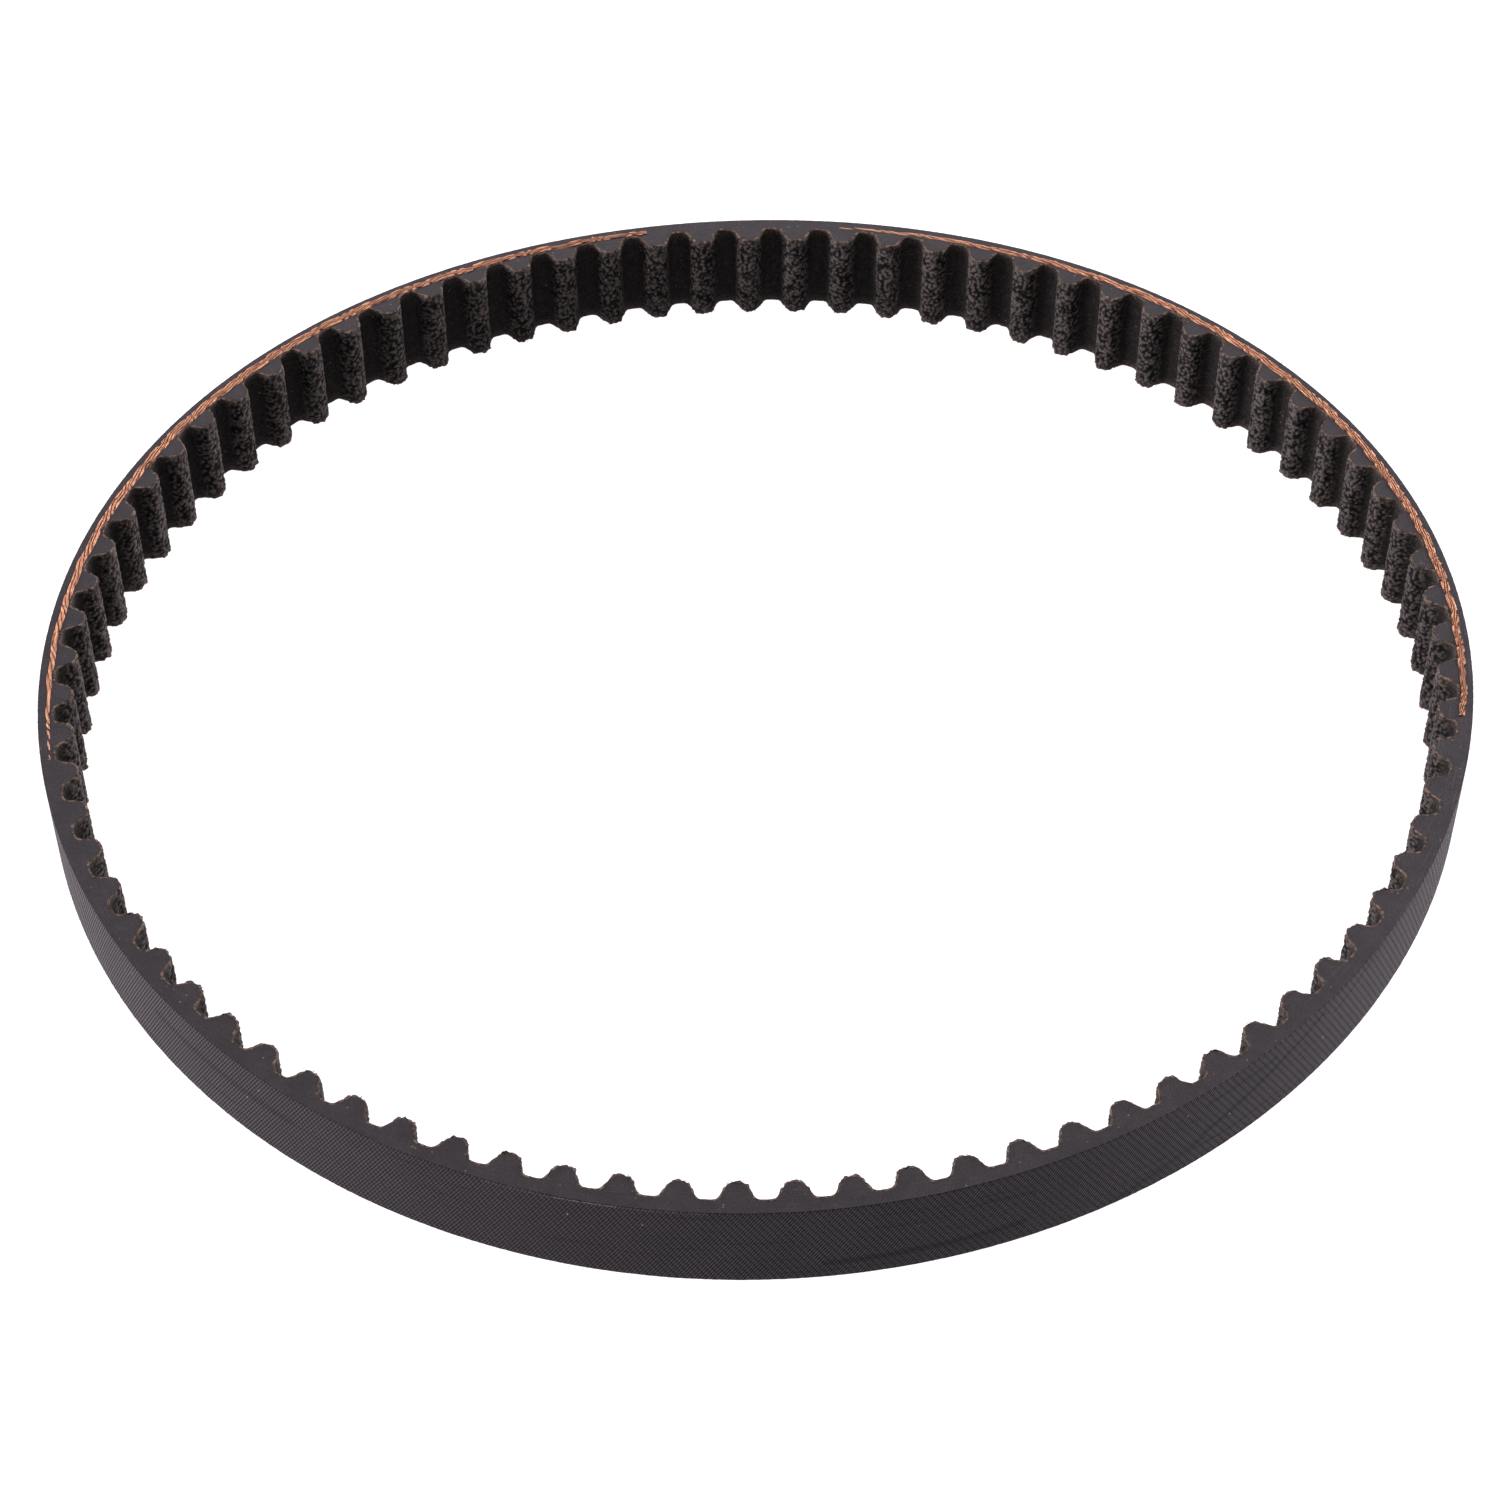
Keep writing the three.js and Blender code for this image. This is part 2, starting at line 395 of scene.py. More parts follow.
class Graph:
    """A material's nodes, all made by one method."""

    def __init__(self, name: str) -> None:
        """Starts an empty material."""
        self.material = bpy.data.materials.new(name)
        self.material.use_nodes = True
        self.tree = self.material.node_tree
        self.tree.nodes.clear()

    def node(
        self,
        kind: str,
        settings: dict[str, Any] | None = None,
        inputs: dict[Any, Any] | None = None,
        output: int | str = 0,
    ) -> Wire:
        """Adds a node.

        Args:
            kind: The node's type, without the ShaderNode prefix.
            settings: Its properties; "stops" gives a ramp's positions and colours.
            inputs: Values or wires for its sockets, by name or number.
            output: The output that is wanted.

        Returns:
            That output as a wire.
        """
        made = self.tree.nodes.new("ShaderNode" + kind)
        for key, value in (settings or {}).items():
            if key == "stops":
                elements = made.color_ramp.elements
                while len(elements) < len(value):
                    elements.new(0.5)
                for element, (position, colour) in zip(elements, value, strict=True):
                    element.position = position
                    element.color = (*colour, 1.0)
            else:
                setattr(made, key, value)
        for key, value in (inputs or {}).items():
            if isinstance(value, Wire):
                self.tree.links.new(value.socket, made.inputs[key])
            else:
                made.inputs[key].default_value = value
        return Wire(self, made.outputs[output] if made.outputs else None)

    def noise(self, vector: Wire, scale: float, detail: float = 2.0, roughness: float = 0.5) -> Wire:
        """Noise from 0 to 1 over a vector."""
        sockets = {"Vector": vector, "Scale": scale, "Detail": detail, "Roughness": roughness}
        return self.node("TexNoise", {}, sockets, "Fac")

    def step(self, value: Wire, low: float, high: float, to_low: float = 0.0, to_high: float = 1.0) -> Wire:
        """Smooth step of a value from to_low at low to to_high at high."""
        sockets = {"Value": value, "From Min": low, "From Max": high, "To Min": to_low, "To Max": to_high}
        return self.node("MapRange", {"interpolation_type": "SMOOTHSTEP"}, sockets)

    def mix(self, share: Any, first: Any, second: Any) -> Wire:
        """A colour between two others."""
        return self.node("Mix", {"data_type": "RGBA"}, {0: share, 6: first, 7: second}, 2)

    def specks(
        self, point: Wire, scale: float, reach: tuple[float, float], spread: float, kept: tuple[float, float]
    ) -> Wire:
        """Scattered small specks.

        Args:
            point: Where the shader is.
            scale: How many cells of specks lie along a millimetre.
            reach: The distances from a speck's middle at which it starts and is full, as shares of a cell.
            spread: Scale of the noise that picks which specks are kept.
            kept: The noise's values at which none and all are kept.

        Returns:
            The specks' strength from 0 to 1.
        """
        near = self.node("TexVoronoi", {}, {"Vector": point, "Scale": scale}, "Distance")
        return self.step(near, *reach) * self.step(self.noise(point, spread, 0.0), *kept)

    def pattern(self) -> tuple[Wire, Wire, Wire]:
        """Pattern coordinates: the loop share, the other one in millimetres, and a point on a round belt.

        The point is on a cylinder as long round as the belt, so noise over it closes on itself.
        """
        split = self.node("SeparateXYZ", {}, {0: self.node("UVMap", {"uv_map": "pattern"})})
        share = split
        across = Wire(self, split.socket.node.outputs[1]) * BELT.length
        angle = share * TURN
        radius = BELT.length / TURN
        around = {0: angle.math("COSINE") * radius, 1: angle.math("SINE") * radius, 2: across}
        return share, across, self.node("CombineXYZ", {}, around)

    def finish(self, **sockets: Any) -> bpy.types.Material:
        """Closes the material with one Principled shader.

        Args:
            sockets: Its inputs, with underscores for spaces; height and relief_mm make a bump.

        Returns:
            The material.
        """
        height = sockets.pop("height", None)
        reach = sockets.pop("relief_mm", 0.02)
        inputs = {key.replace("_", " "): value for key, value in sockets.items()}
        if height is not None:
            bump = {"Height": height, "Distance": reach * METRE, "Strength": 1.0}
            inputs["Normal"] = self.node("Bump", {}, bump)
        shader = self.node("BsdfPrincipled", {}, inputs)
        self.node("OutputMaterial", {}, {"Surface": shader})
        return self.material


# ---------------------------------------------------------------------------------------------------------
# Finishes
# ---------------------------------------------------------------------------------------------------------

Colour = tuple[float, float, float, float]
WORN_PALE: Colour = (0.17, 0.18, 0.19, 1.0)
BACK_DUST: Colour = (0.26, 0.23, 0.20, 1.0)
CUT_SPECK: Colour = (0.17, 0.135, 0.11, 1.0)
WARM_THREAD: Colour = (0.080, 0.056, 0.040, 1.0)
TAN_THREAD: Colour = (0.14, 0.080, 0.045, 1.0)
EDGE_DUST: Colour = (0.080, 0.064, 0.054, 1.0)
CUT_THREAD: Colour = (0.165, 0.118, 0.088, 1.0)
DARK_LINT: Colour = (0.012, 0.010, 0.009, 1.0)
TAN_LINT: Colour = (0.13, 0.09, 0.06, 1.0)


def tone(value: float, green: float = 0.78, blue: float = 0.98) -> Colour:
    """A dark colour by its red part, with the shares of green and blue that go with it."""
    return (value, value * green, value * blue, 1.0)


def brown(value: float) -> Colour:
    """A warm dark colour by its red part."""
    return tone(value, 0.9, 0.83)


@dataclass(frozen=True)
class SoftStreak:
    """A soft streak on the belt's back, from one point to another, with a half-width: a painted shadow of a
    crease when dark, a worn mark when pale.
    """

    along: tuple[float, float]
    height: tuple[float, float]
    reach: float
    strength: float

    def shade(self, graph: Graph, along: Wire, across: Wire) -> Wire:
        """The streak's strength at a point: it fades with the distance from its middle line."""
        run, rise = self.along[1] - self.along[0], self.height[1] - self.height[0]
        from_along, from_height = along - self.along[0], across - self.height[0]
        square = run * run + rise * rise
        share = from_along * (run / square) + from_height * (rise / square)
        share = share.math("MINIMUM", 1.0).math("MAXIMUM", 0.0)
        off_along, off_height = from_along - share * run, from_height - share * rise
        distance = (off_along * off_along + off_height * off_height).math("SQRT")
        return graph.step(distance, self.reach, 0.0, 0.0, self.strength)


@dataclass(frozen=True)
class WeaveImprint:
    """The cloth imprint that moulding leaves in the belt's back.

    The cloth's threads cross in a lattice of lozenges, `columns` of them round the loop and `rows` for each
    millimetre across it. One set of lines is a wave with a narrow groove, the other is ribs at half its
    pitch. The moulded shape holds the broad waves, and the shading adds the fine ribs.
    """

    columns: int = 636
    rows: float = 0.9
    depth: float = 0.022
    groove: tuple[float, float] = (0.5, 1.0)
    level: float = 0.62
    rib: float = 0.05
    fine_rib: float = 0.4
    moulded: tuple[float, float] = (0.08, 0.16)
    shaded: tuple[float, float] = (0.1, 0.19)

    def height(self, along: Array, height: Array) -> Array:
        """The moulded relief, about 0 to 1: two broad waves, one of them grooved."""
        swell, cut = self.moulded
        turn, rise = along / BELT.length * self.columns, height * self.rows
        wave, cross = np.cos(TURN * (turn + rise)), np.cos(TURN * (turn - rise))
        return self.level + swell * wave - cut * eased(*self.groove, -wave) + self.rib * cross

    def shade(self, graph: Graph, share: Wire, across: Wire) -> Wire:
        """The relief for shading: the same waves, a little stronger, with the fine ribs."""
        swell, cut = self.shaded
        turn, rise = share * (TURN * self.columns), across * (TURN * self.rows)
        wave, cross = (turn + rise).math("COSINE"), turn - rise
        grooved = wave * swell - graph.step(wave * -1.0, *self.groove, 0.0, cut)
        ribs = cross.math("COSINE") * self.rib
        return grooved + ribs + (cross * 2.0).math("COSINE") * self.fine_rib + self.level


@dataclass(frozen=True)
class BackRubber:
    """Moulded rubber of the smooth back: cloth imprint with painted shade in its grooves, rubbed streaks,
    painted crease shadows, dust.
    """

    imprint: WeaveImprint
    light: float = 0.024
    dark: float = 0.0025
    roughness: float = 0.46
    # Dark streaks: painted shadows of creases in the belt's back.
    crease_shadows: tuple[SoftStreak, ...] = (
        SoftStreak((310.0, 327.0), (2.1, 2.5), 0.7, 0.5),
        SoftStreak((336.0, 345.0), (0.5, 3.2), 0.7, 0.3),
        SoftStreak((345.0, 359.0), (3.7, 8.7), 0.55, 0.5),
        SoftStreak((361.0, 368.0), (7.2, 9.7), 0.45, 0.4),
        SoftStreak((345.0, 353.0), (8.0, 8.1), 0.4, 0.35),
        SoftStreak((324.0, 328.0), (7.1, 6.5), 0.4, 0.35),
        SoftStreak((245.0, 262.0), (6.4, 6.1), 0.8, 0.35),
        SoftStreak((60.0, 95.0), (4.2, 3.8), 0.9, 0.4),
        SoftStreak((150.0, 172.0), (6.8, 7.9), 0.7, 0.35),
    )
    pale_marks: tuple[SoftStreak, ...] = (
        SoftStreak((287.2, 292.6), (9.82, 9.86), 0.12, 0.5),
        SoftStreak((281.0, 300.0), (9.8, 9.84), 0.2, 0.16),
        SoftStreak((40.0, 48.0), (9.8, 9.9), 0.12, 0.4),
    )

    def build(self) -> bpy.types.Material:
        """The material."""
        graph = Graph("imprinted_back")
        share, across, point = graph.pattern()
        weave = self.imprint.shade(graph, share, across)
        grain = graph.noise(point, 6.0, 3.0, 0.7)
        cloudy = graph.noise(point, 0.22, 3.0, 0.55)
        drawn = graph.node("CombineXYZ", {}, {0: share * 26.0, 1: across * 1.6, 2: 3.0})
        rub_and_crease_shade = graph.step(graph.noise(drawn, 1.0, 3.0, 0.6), 0.56, 0.7) * 0.35
        along = share * BELT.length
        along = along + along.math("LESS_THAN", 0.0) * BELT.length
        # Each crease streak is painted shadow, joined to the rubbed streaks.
        for crease_shadow in self.crease_shadows:
            streak = crease_shadow.shade(graph, along, across) * graph.step(grain, 0.2, 0.6, 0.4, 1.0)
            rub_and_crease_shade = rub_and_crease_shade.math("MAXIMUM", streak)
        mottle = graph.noise(point, 2.3, 2.0)
        # The weave relief also sets the colour, darker in the grooves and paler on the ribs: painted shade
        # and highlight of the imprint, over random grain and mottle.
        level = graph.step(weave * 0.7 + grain * 0.2 + mottle * 0.3, 0.34, 0.98)
        level = level * graph.step(cloudy, 0.25, 0.7, 0.7, 1.0) * (1 - rub_and_crease_shade)
        colour = graph.mix(level, tone(self.dark), tone(self.light))
        # Rubbed streaks and painted crease shadows darken the colour.
        colour = graph.mix(rub_and_crease_shade, colour, tone(self.dark * 0.5))
        for mark in self.pale_marks:
            worn = mark.shade(graph, along, across) * graph.step(grain, 0.35, 0.6)
            colour = graph.mix(worn, colour, WORN_PALE)
        dust = graph.specks(point, 0.5, (0.06, 0.035), 0.9, (0.55, 0.6))
        colour = graph.mix(dust * 0.8, colour, BACK_DUST)
        groove_gloss, rib_gloss = self.roughness + 0.34, self.roughness - 0.04
        gloss = graph.step(weave + grain * 0.3, 0.3, 1.1, groove_gloss, rib_gloss) + rub_and_crease_shade * 0.2
        return graph.finish(
            Base_Color=colour,
            Roughness=gloss,
            Specular_IOR_Level=0.13,
            height=weave + grain * 0.22,
            relief_mm=0.045,
        )


@dataclass(frozen=True)
class CutRubber:
    """Rubber where the belt was cut to width: fine grain, drag lines, pale specks."""

    level: float = 0.0165
    roughness: float = 0.55

    def build(self) -> bpy.types.Material:
        """The material."""
        graph = Graph("cut_rubber")
        share, across, point = graph.pattern()
        grain = graph.noise(point, 7.0, 4.0, 0.75)
        cloudy = graph.noise(point, 0.5, 2.0)
        drawn = graph.node("CombineXYZ", {}, {0: share * 60.0, 1: across * 5.0, 2: 9.0})
        drag = graph.step(graph.noise(drawn, 1.0, 3.0, 0.6), 0.55, 0.75)
        base = graph.mix(graph.step(grain, 0.3, 0.72), tone(self.level * 0.5), tone(self.level * 1.5))
        base = graph.mix(drag * 0.5, base, tone(self.level * 2.4))
        base = graph.mix(graph.step(cloudy, 0.66, 0.36, 0.0, 0.6), base, tone(self.level * 0.35))
        speck = graph.specks(point, 1.2, (0.13, 0.06), 1.7, (0.45, 0.6))
        base = graph.mix(speck * 0.7, base, CUT_SPECK)
        return graph.finish(
            Base_Color=base,
            Roughness=graph.step(grain, 0.2, 0.8, self.roughness + 0.12, self.roughness - 0.08),
            Specular_IOR_Level=0.28,
            height=grain + drag * 0.4 + cloudy * 1.5,
            relief_mm=0.035,
        )


@dataclass(frozen=True)
class PittedFacing:
    """Rubber-soaked fabric of the toothed face: black pits deepened by painted shade, grey-brown thread, tan
    where it is cut.
    """

    pit: float = 0.0014
    thread: float = 0.078
    roughness: float = 0.85
    dusty_band: float = 1.3
    cut_rim: float = 0.22

    def build(self) -> bpy.types.Material:
        """The material."""
        graph = Graph("pitted_facing")
        _, across, point = graph.pattern()
        relief = graph.node("Attribute", {"attribute_name": "relief"}, {}, "Fac")
        fine = graph.noise(point, 5.5, 3.0, 0.7)
        # The colour follows the relief: near black in the pits, which is their rubber deepened by painted
        # shade, and grey-brown on the knobs.
        level = graph.step(relief * 0.7 + fine * 0.5, 0.28, 1.14)
        colour = graph.mix(level, tone(self.pit), brown(self.thread))
        warm = graph.step(graph.noise(point, 1.2, 2.0), 0.5, 0.72) * level
        colour = graph.mix(warm * 0.5, colour, WARM_THREAD)
        tan = graph.specks(point, 1.3, (0.17, 0.08), 2.1, (0.54, 0.66))
        colour = graph.mix(tan * 0.75, colour, TAN_THREAD)
        half = BELT.width / 2
        from_middle = (across - half).math("ABSOLUTE")
        dusty = graph.step(from_middle, half - self.dusty_band, half) * graph.step(fine, 0.3, 0.65)
        colour = graph.mix(dusty * 0.5, colour, EDGE_DUST)
        rim = graph.step(from_middle, half - self.cut_rim, half - 0.03)
        dots = graph.step(graph.noise(point, 3.4, 2.0, 0.6), 0.45, 0.64)
        colour = graph.mix(rim * (dots * 0.8 + 0.12), colour, CUT_THREAD)
        return graph.finish(
            Base_Color=colour, Roughness=self.roughness, Specular_IOR_Level=0.07, height=fine, relief_mm=0.07
        )


@dataclass(frozen=True)
class TwistedCord:
    """Treated glass cord: orange-tan filaments that run with the lay, with painted shade between the strands
    and painted highlights on their crowns.
    """

    pale_highlight: tuple[float, float, float] = (0.72, 0.38, 0.21)
    middle: tuple[float, float, float] = (0.37, 0.135, 0.062)
    deep_shade: tuple[float, float, float] = (0.050, 0.011, 0.008)

    def build(self) -> bpy.types.Material:
        """The material."""
        graph = Graph("twisted_cord")
        relief = graph.node("Attribute", {"attribute_name": "relief"}, {}, "Fac")
        split = graph.node("SeparateXYZ", {}, {0: graph.node("UVMap", {"uv_map": "pattern"})})
        lay = Wire(graph, split.socket.node.outputs[1])
        drawn = graph.node("CombineXYZ", {}, {0: split * 150.0, 1: lay * 5.0, 2: 1.0})
        filament = graph.step(graph.noise(drawn, 1.0, 4.0, 0.7), 0.3, 0.7)
        patch_at = graph.node("CombineXYZ", {}, {0: split * 200.0, 1: lay * 0.7, 2: 5.0})
        patch = graph.step(graph.noise(patch_at, 1.0, 2.0), 0.3, 0.7)
        # The strand relief darkens the colour between the strands and pales it on their crowns: painted shade
        # and highlight, over the filaments' own streaks.
        level = filament * 0.4 + relief * 0.38 + patch * 0.22
        stops = [(0.28, self.deep_shade), (0.5, self.middle), (0.85, self.pale_highlight)]
        colour = graph.node("ValToRGB", {"stops": stops}, {0: level}, "Color")
        return graph.finish(
            Base_Color=colour,
            Roughness=0.6,
            Specular_IOR_Level=0.3,
            height=filament + relief * 1.5,
            relief_mm=0.06,
        )


@dataclass(frozen=True)
class Lint:
    """Loose nylon ends that stand out of the fabric's cut edges."""

    def build(self) -> bpy.types.Material:
        """The material."""
        graph = Graph("frayed_thread")
        relief = graph.node("Attribute", {"attribute_name": "relief"}, {}, "Fac")
        colour = graph.mix(relief, DARK_LINT, TAN_LINT)
        return graph.finish(Base_Color=colour, Roughness=0.85, Specular_IOR_Level=0.15)


@dataclass(frozen=True)
class PaleFloor:
    """Matt white studio floor, lit a little from within so that it stays pale."""

    level: float = 0.2
    glow: Colour = (1.0, 0.94, 1.0, 1.0)
    strength: float = 1.1

    def build(self) -> bpy.types.Material:
        """The material."""
        graph = Graph("pale_floor")
        white = (self.level, self.level, self.level, 1.0)
        return graph.finish(
            Base_Color=white, Roughness=0.9, Emission_Color=self.glow, Emission_Strength=self.strength
        )


# ---------------------------------------------------------------------------------------------------------
# The belt's layers
# ---------------------------------------------------------------------------------------------------------


@dataclass(frozen=True)
class RubberBody:
    """The rubber moulding: imprinted back, cut edges, and the teeth up to the fabric."""

    imprint: WeaveImprint
    samples_per_wave: int = 6
    rows: int = 48
    edge_rows: int = 6
    corner: float = 0.04
    corner_rows: int = 2
    ragged: float = 0.05
    ragged_cell: float = 0.5
    lap: float = 0.02
    crease: float = 20.0

    def shell(self, sector: Sector) -> Shell:
        """The moulding of one sector.

        The ring goes up the back, across the high edge to the fabric, down behind the fabric and back across
        the low edge. The back is moved in by the cloth's relief. The rubber laps a little into the fabric,
        whose hidden side is the toothed face moved back by its thickness, measured square to the flanks.
        """
        step = BELT.length / self.imprint.columns / self.samples_per_wave
        count = round((sector.end - sector.start) / step)
        along = np.linspace(sector.start, sector.end, count + 1)[:, None]
        thickness = (BELT.facing - self.lap) * np.hypot(1, BELT.flank_slope(along))
        inner = BELT.land + BELT.tooth_rise(along) - thickness
        low = np.linspace(0, self.corner, self.corner_rows + 1)[:-1]
        middle = np.linspace(self.corner, BELT.width - self.corner, self.rows + 1)
        up = np.concatenate([low, middle, BELT.width - low[::-1]])[None, :]
        across = np.linspace(0, 1, self.edge_rows + 2)[None, 1:]
        weave = self.imprint.height(along, up)
        spots = np.concatenate([along + 0 * up, 0 * along + up, 0 * along + 0 * up], axis=1)
        spots = spots.reshape(len(along), 3, -1).transpose(0, 2, 1)
        rough = smooth_noise(spots, self.ragged_cell, seed=11) - 0.5
        from_edge = np.minimum(up, BELT.width - up)
        inset = np.clip(self.corner - from_edge, 0, None)
        rounded = self.corner - np.sqrt(self.corner**2 - inset**2)
        back = self.imprint.depth * (1 - weave) + rounded
        back = back + np.abs(rough) * self.ragged * eased(0.5, 0.0, from_edge)
        edge = self.corner + (inner - self.corner) * across
        depth = np.concatenate([back, edge, edge[:, ::-1]], axis=1)
        flat = np.zeros_like(inner * across)
        height = np.concatenate([up + 0 * along, flat + BELT.width, flat], axis=1)
        run_in = BELT.width + inner * across
        run = np.concatenate([up + 0 * along, run_in, BELT.width + run_in], axis=1)
        run = np.concatenate([run, run[:, -1:] + 0.5], axis=1)
        uv = np.stack([np.broadcast_to(along, run.shape), run], axis=-1) / BELT.length
        bands = np.array([0] * (up.size - 1) + [1] * (depth.shape[1] - up.size + 1))
        relief = np.concatenate([weave, flat + 0.5, flat + 0.5], axis=1)
        return Shell(BELT.place(along, depth, height), uv, relief, bands)


@dataclass(frozen=True)
class ToothFacing:
    """The fabric over teeth and lands, with its pits and its rough cut edges as real relief."""

    step: float = 0.13
    rows: int = 64
    surface_samples: int = 40001
    knob: float = 0.36
    coarse_cell: float = 0.9
    fine_cell: float = 0.24
    tip_relief: float = 0.16
    land_relief: float = 0.025
    edge_fray: float = 0.24
    lumpy_band: float = 0.45
    drifting_band: float = 0.3

    def stations(self, sector: Sector) -> Array:
        """Distances round the belt that are evenly spaced over the toothed face's own surface."""
        fine = np.linspace(sector.start, sector.end, self.surface_samples)
        run = np.concatenate([[0], np.cumsum(np.hypot(np.diff(fine), np.diff(BELT.tooth_rise(fine))))])
        count = round(run[-1] / self.step)
        return np.interp(np.linspace(0, run[-1], count + 1), run, fine)

    def shell(self, sector: Sector) -> Shell:
        """The fabric of one sector.

        The ring goes down the visible face, across the low cut edge, up the hidden side and across the high
        cut edge. The visible face moves along its normal by layered noise, which is strong on the teeth and
        weak on the lands, and its cut edges wander.
        """
        along = self.stations(sector)[:, None]
        down = np.linspace(BELT.width, 0, self.rows + 1)[None, :]
        rise, slope = BELT.tooth_rise(along), BELT.flank_slope(along)
        face = BELT.place(along, BELT.land + rise, down) / METRE
        coarse = smooth_noise(face, self.coarse_cell, seed=1)
        small = smooth_noise(face, self.fine_cell, seed=3)
        relief = eased(0.1, 0.85, 0.6 * pebbles(face, self.knob, seed=2) + 0.22 * coarse + 0.18 * small)
        worn = eased(0.15, 0.8, rise / BELT.tooth_height)
        amount = self.land_relief + (self.tip_relief - self.land_relief) * worn
        push = amount * (relief - 0.6)
        tilt = np.hypot(1, slope)
        edge = np.minimum(down, BELT.width - down)
        at_edge = eased(self.lumpy_band, 0.0, edge)
        lumps = smooth_noise(face, (0.5, 0.5, 4.0), seed=7)
        push = push + at_edge * (lumps - 0.55) * self.edge_fray * (0.35 + 0.65 * worn)
        drift = smooth_noise(face, (0.4, 0.4, 9.0), seed=8) - 0.5
        shift = eased(self.drifting_band, 0.0, edge) * drift * self.edge_fray * 1.4 * worn
        height = down + np.where(down > BELT.width / 2, shift, -shift)
        moved_along = along - push * slope / tilt
        depth = BELT.land + rise + push / tilt
        hidden_along = along + BELT.facing * slope / tilt + 0 * down[:, :2]
        hidden_depth = BELT.land + rise - BELT.facing / tilt + 0 * down[:, :2]
        hidden_height = np.broadcast_to([0.0, BELT.width], hidden_depth.shape)
        ring = BELT.place(
            np.concatenate([moved_along, hidden_along], axis=1),
            np.concatenate([depth, hidden_depth], axis=1),
            np.concatenate([height, hidden_height], axis=1),
        )
        run = np.concatenate([down[0], [-0.02, BELT.width + 0.1, BELT.width + 0.02]])
        uv = np.stack(np.broadcast_arrays(along, run[None, :]), axis=-1) / BELT.length
        bands = np.zeros(ring.shape[1], int)
        # The relief that colours the fabric is drawn to a low, even level on the lands: painted shade between
        # the teeth, and a smoother look.
        shaded_land_level = 0.32 + 0.14 * (small - 0.5)
        relief = shaded_land_level + (relief - shaded_land_level) * eased(0.15, 0.65, rise / BELT.tooth_height)
        edge_relief = np.stack([relief[:, -1], relief[:, 0]], axis=1)
        return Shell(ring, uv, np.concatenate([relief, edge_relief], axis=1), bands)


class Twist(Enum):
    """Which way a cord is twisted: the sign of its strands' turn along the belt."""

    S = -1
    Z = 1


@dataclass(frozen=True)
class WoundCord:
    """One tension cord, wound down the belt's width and laid bare where the edges were cut through it."""

    twist: Twist
    entry: float
    radius: float = 0.41
    depth: float = 0.99
    lead: float = 3.0
    strands: int = 6
    lay: float = 10.5
    lift: float = 0.02
    swell: float = 0.09
    tooth_sag: float = 0.05
    thin_end: float = 8.0
    lay_wander: float = 1.6
    depth_wander: float = 0.14
    bare_width: tuple[float, float] = (0.42, 0.84)
    bare_mesh: tuple[float, int] = (0.16, 27)
    hidden_mesh: tuple[float, int] = (0.6, 10)
    most_turns: int = 6
    shortest: float = 1.0
    pattern_run: float = 150.0

    @property
    def name(self) -> str:
        """The cord's name."""
        return f"{self.twist.name.lower()}_cord"

    def axis_height(self, along: Array) -> Array:
        """Height of the cord's axis: it drops by the lead for each turn, from just over the high edge."""
        turns = (np.asarray(along) - self.entry * BELT.length) / BELT.length
        return BELT.width + self.radius - self.lead * turns

    def span(self) -> tuple[float, float]:
        """Where the cord comes in at the high edge and leaves at the low one, less its thinnest ends."""
        start = self.entry * BELT.length
        turns = (BELT.width + 2 * self.radius) / self.lead
        return start + self.thin_end, start + turns * BELT.length - self.thin_end

    def tube(self, start: float, end: float) -> Shell:
        """One stretch of cord.

        Its section is a circle with one low lobe for each strand, and the lobes turn with the lay. What
        stands above an edge of the belt is cut off there, apart from a slight swell of the strands, and is
        drawn in to a worn width that wanders.
        """
        middle = self.axis_height(np.array([start, end]))
        bare = max(middle) > BELT.width - 2 * self.radius or min(middle) < 2 * self.radius
        step, around = self.bare_mesh if bare else self.hidden_mesh
        along = np.linspace(start, end, max(2, round((end - start) / step)) + 1)[:, None]
        angle = np.linspace(0, TURN, around + 1)[None, :-1]
        turn = self.twist.value * TURN * along / self.lay
        line = np.concatenate([along, 0 * along, 0 * along], axis=1)
        turn = turn + self.lay_wander * (smooth_noise(line, 1.9, seed=20)[:, None] - 0.5)
        lobes = eased(0.05, 0.95, np.abs(np.cos(self.strands / 2 * (angle - turn))))
        axis = self.axis_height(along)
        reach = self.radius * (0.9 + 0.1 * lobes)
        up, out = reach * np.cos(angle), reach * np.sin(angle)
        top, bottom = BELT.width + self.lift + self.swell * lobes, -self.lift - 0.02 * lobes
        height = np.clip(axis + up, bottom, top)
        cut = (axis + up > top) | (axis + up < bottom)
        inside = np.minimum(axis, BELT.width - axis)
        chord = np.sqrt(np.clip(self.radius**2 - inside**2, 1e-4, None))
        widest = np.where(inside > 0, chord, self.radius)
        least, most = self.bare_width
        worn = least + (most - least) * smooth_noise(line, 0.8, seed=21)[:, None]
        out = np.where(cut, out * chord / widest * worn, out)
        sag = self.tooth_sag * np.cos(TURN * BELT.from_tooth(along) / BELT.pitch)
        sag = sag + self.depth_wander * (smooth_noise(line, 1.7, seed=22)[:, None] - 0.5)
        ring = BELT.place(along, self.depth + sag + out, height)
        closing = np.concatenate([angle, [[TURN]]], axis=1)
        uv = np.stack([along / self.pattern_run + 0 * closing, closing - turn], axis=-1)
        return Shell(ring, uv, lobes, np.zeros(around, int))

    def shells(self, sector: Sector) -> list[Shell]:
        """Every stretch of the cord in a sector, one for each turn that passes through it."""
        first, last = self.span()
        found = []
        for turn in range(-1, self.most_turns):
            start = max(sector.start + turn * BELT.length, first)
            end = min(sector.end + turn * BELT.length, last)
            if end - start > self.shortest:
                found.append(self.tube(start, end))
        return found


